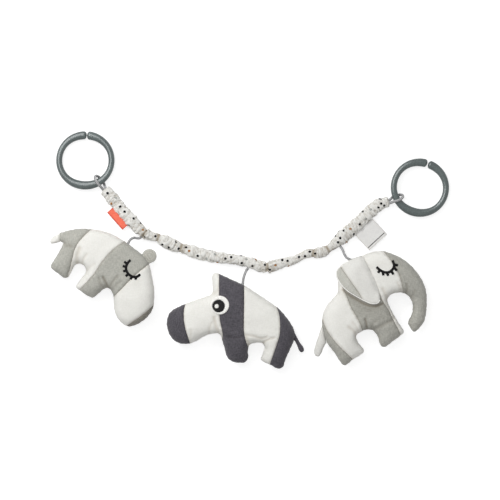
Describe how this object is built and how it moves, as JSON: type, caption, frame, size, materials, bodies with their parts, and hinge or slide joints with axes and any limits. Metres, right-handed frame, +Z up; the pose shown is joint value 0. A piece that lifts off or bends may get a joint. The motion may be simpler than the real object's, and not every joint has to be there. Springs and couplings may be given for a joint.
{
  "type": "pram toy",
  "caption": "Gathered elastic fabric band with open clip rings at both ends and stuffed patchwork animals hanging on cords, laid flat.",
  "frame": {"origin": "centre of the bounding box, on the table the toy lies on", "axes": "+X along the band from the hippo's end to the elephant's, +Z up off the table, the animals lie towards -Y"},
  "size_m": [0.422, 0.2505, 0.0349],
  "materials": {
    "slate_plastic": "satin moulded plastic",
    "grey_cord": "braided cord",
    "cream_cotton": "woven cotton",
    "grey_cotton": "woven cotton",
    "nose_cotton": "woven cotton",
    "charcoal_cotton": "woven cotton",
    "dotted_cotton": "gathered printed cotton",
    "black_thread": "satin stitch thread",
    "black_felt": "felt",
    "coral_ribbon": "woven ribbon",
    "white_satin": "satin",
    "white_elastic": "woven elastic"
  },
  "bodies": {
    "band_centre": {"band_cover_centre": "dotted_cotton", "band_elastic_centre": "white_elastic"},
    "band_far_right": {"band_cover_far_right": "dotted_cotton", "band_elastic_far_right": "white_elastic"},
    "band_left": {"band_cover_left": "dotted_cotton", "band_elastic_left": "white_elastic"},
    "band_right": {"band_cover_right": "dotted_cotton", "band_elastic_right": "white_elastic"},
    "care_label": {"care_label": "white_satin"},
    "clip_ring_left": {"clip_ring_left": "slate_plastic"},
    "clip_ring_right": {"clip_ring_right": "slate_plastic"},
    "cord_loop_left": {"cord_loop_left": "grey_cord"},
    "cord_loop_right": {"cord_loop_right": "grey_cord"},
    "elephant": {"elephant_belly": "cream_cotton", "elephant_eye_far": "black_thread", "elephant_eye_near": "black_thread", "elephant_face": "cream_cotton", "elephant_rump": "grey_cotton", "elephant_shoulder": "grey_cotton", "elephant_trunk": "grey_cotton"},
    "elephant_ear_far": {"elephant_ear_far_border": "grey_cotton", "elephant_ear_far_flap": "cream_cotton"},
    "elephant_ear_near": {"elephant_ear_near_border": "grey_cotton", "elephant_ear_near_flap": "cream_cotton"},
    "elephant_tail": {"elephant_tail": "cream_cotton"},
    "hanging_cord_elephant": {"hanging_cord_elephant": "grey_cord"},
    "hanging_cord_hippo": {"hanging_cord_hippo": "grey_cord"},
    "hanging_cord_zebra": {"hanging_cord_zebra": "grey_cord"},
    "hippo": {"hippo_belly": "cream_cotton", "hippo_eye_far": "black_thread", "hippo_eye_near": "black_thread", "hippo_muzzle": "cream_cotton", "hippo_nose": "nose_cotton", "hippo_rump": "grey_cotton", "hippo_shoulder": "grey_cotton"},
    "hippo_ear": {"hippo_ear": "grey_cotton"},
    "hippo_tail": {"hippo_tail": "cream_cotton"},
    "side_label": {"side_label": "coral_ribbon"},
    "zebra": {"zebra_belly": "cream_cotton", "zebra_eye_disc_far": "black_felt", "zebra_eye_disc_near": "black_felt", "zebra_eye_pupil_far": "white_satin", "zebra_eye_pupil_near": "white_satin", "zebra_eye_ring_far": "cream_cotton", "zebra_eye_ring_near": "cream_cotton", "zebra_face": "cream_cotton", "zebra_neck": "charcoal_cotton", "zebra_nose": "charcoal_cotton", "zebra_rump": "charcoal_cotton"},
    "zebra_tail": {"zebra_tail": "charcoal_cotton"}
  },
  "joints": [
    {"name": "band_fold_left", "type": "hinge", "parent": "band_centre", "child": "band_left", "pos_m": [-0.09674, 0.01289, 0.00568], "axis": [0, 0, -1], "range_deg": [-6, 25]},
    {"name": "band_fold_right", "type": "hinge", "parent": "band_centre", "child": "band_right", "pos_m": [0.01872, -0.0184, 0.00568], "axis": [0, 0, 1], "range_deg": [-2, 20]},
    {"name": "band_fold_far_right", "type": "hinge", "parent": "band_right", "child": "band_far_right", "pos_m": [0.0846, 0.00211, 0.00568], "axis": [0, 0, 1], "range_deg": [-2, 20]},
    {"name": "loop_left_hinge", "type": "hinge", "parent": "band_left", "child": "cord_loop_left", "pos_m": [-0.15442, 0.06585, 0.00568], "axis": [0.7793, 0.6267, 0], "range_deg": [-35, 10]},
    {"name": "loop_right_hinge", "type": "hinge", "parent": "band_far_right", "child": "cord_loop_right", "pos_m": [0.14931, 0.05146, 0.00568], "axis": [0.2041, -0.9789, 0], "range_deg": [-35, 10]},
    {"name": "ring_left_turn", "type": "hinge", "parent": "cord_loop_left", "child": "clip_ring_left", "pos_m": [-0.17363, 0.09474, 0.00546], "axis": [-0.0342, 0.051, 0.9981], "continuous": true},
    {"name": "ring_right_turn", "type": "hinge", "parent": "cord_loop_right", "child": "clip_ring_right", "pos_m": [0.18007, 0.0659, 0.00546], "axis": [0.0558, 0.0255, 0.9981], "continuous": true},
    {"name": "hippo_swing", "type": "hinge", "parent": "band_left", "child": "hanging_cord_hippo", "pos_m": [-0.11681, 0.01148, 0.00568], "axis": [0.8176, -0.5758, 0], "range_deg": [-60, 60]},
    {"name": "zebra_swing", "type": "hinge", "parent": "band_centre", "child": "hanging_cord_zebra", "pos_m": [-0.00215, -0.02067, 0.00568], "axis": [0.9702, -0.2424, 0], "range_deg": [-25, 60]},
    {"name": "elephant_swing", "type": "hinge", "parent": "band_far_right", "child": "hanging_cord_elephant", "pos_m": [0.09717, 0.00241, 0.00568], "axis": [0.7707, 0.6372, 0], "range_deg": [-45, 60]},
    {"name": "hippo_twist", "type": "hinge", "parent": "hanging_cord_hippo", "child": "hippo", "pos_m": [-0.12821, 0.00697, 0.015], "axis": [-0.4472, -0.8944, 0], "range_deg": [-60, 60]},
    {"name": "zebra_twist", "type": "hinge", "parent": "hanging_cord_zebra", "child": "zebra", "pos_m": [-0.00718, -0.0357, 0.0155], "axis": [-0.1081, -0.9941, 0], "range_deg": [-60, 60]},
    {"name": "elephant_twist", "type": "hinge", "parent": "hanging_cord_elephant", "child": "elephant", "pos_m": [0.10561, -0.00993, 0.0155], "axis": [0.848, -0.53, 0], "range_deg": [-60, 60]},
    {"name": "hippo_tail_bend", "type": "hinge", "parent": "hippo", "child": "hippo_tail", "pos_m": [-0.20124, 0.01289, 0.015], "axis": [-0.073, 0.9973, 0], "range_deg": [-35, 35]},
    {"name": "hippo_ear_bend", "type": "hinge", "parent": "hippo", "child": "hippo_ear", "pos_m": [-0.10915, -0.00905, 0.015], "axis": [-0.6, 0.8, 0], "range_deg": [-35, 35]},
    {"name": "zebra_tail_bend", "type": "hinge", "parent": "zebra", "child": "zebra_tail", "pos_m": [0.04816, -0.0903, 0.0155], "axis": [-0.0814, 0.9967, 0], "range_deg": [-35, 35]},
    {"name": "elephant_tail_bend", "type": "hinge", "parent": "elephant", "child": "elephant_tail", "pos_m": [0.0779, -0.08938, 0.0155], "axis": [-0.2216, 0.9751, 0], "range_deg": [-35, 35]},
    {"name": "elephant_ear_near_lift", "type": "hinge", "parent": "elephant", "child": "elephant_ear_near", "pos_m": [0.1345, -0.03049, 0.0261], "axis": [-0.3539, 0.9218, 0.1585], "range_deg": [0, 32]},
    {"name": "elephant_ear_far_lift", "type": "hinge", "parent": "elephant", "child": "elephant_ear_far", "pos_m": [0.1345, -0.03049, 0.00637], "axis": [0.3541, -0.9225, 0.1536], "range_deg": [0, 32]},
    {"name": "side_label_bend", "type": "hinge", "parent": "band_left", "child": "side_label", "pos_m": [-0.1377, 0.03434, 0.00568], "axis": [0.6385, -0.7696, 0], "range_deg": [-40, 40]},
    {"name": "care_label_bend", "type": "hinge", "parent": "band_far_right", "child": "care_label", "pos_m": [0.12104, 0.0238, 0.00568], "axis": [0.7224, 0.6915, 0], "range_deg": [-40, 40]}
  ]
}
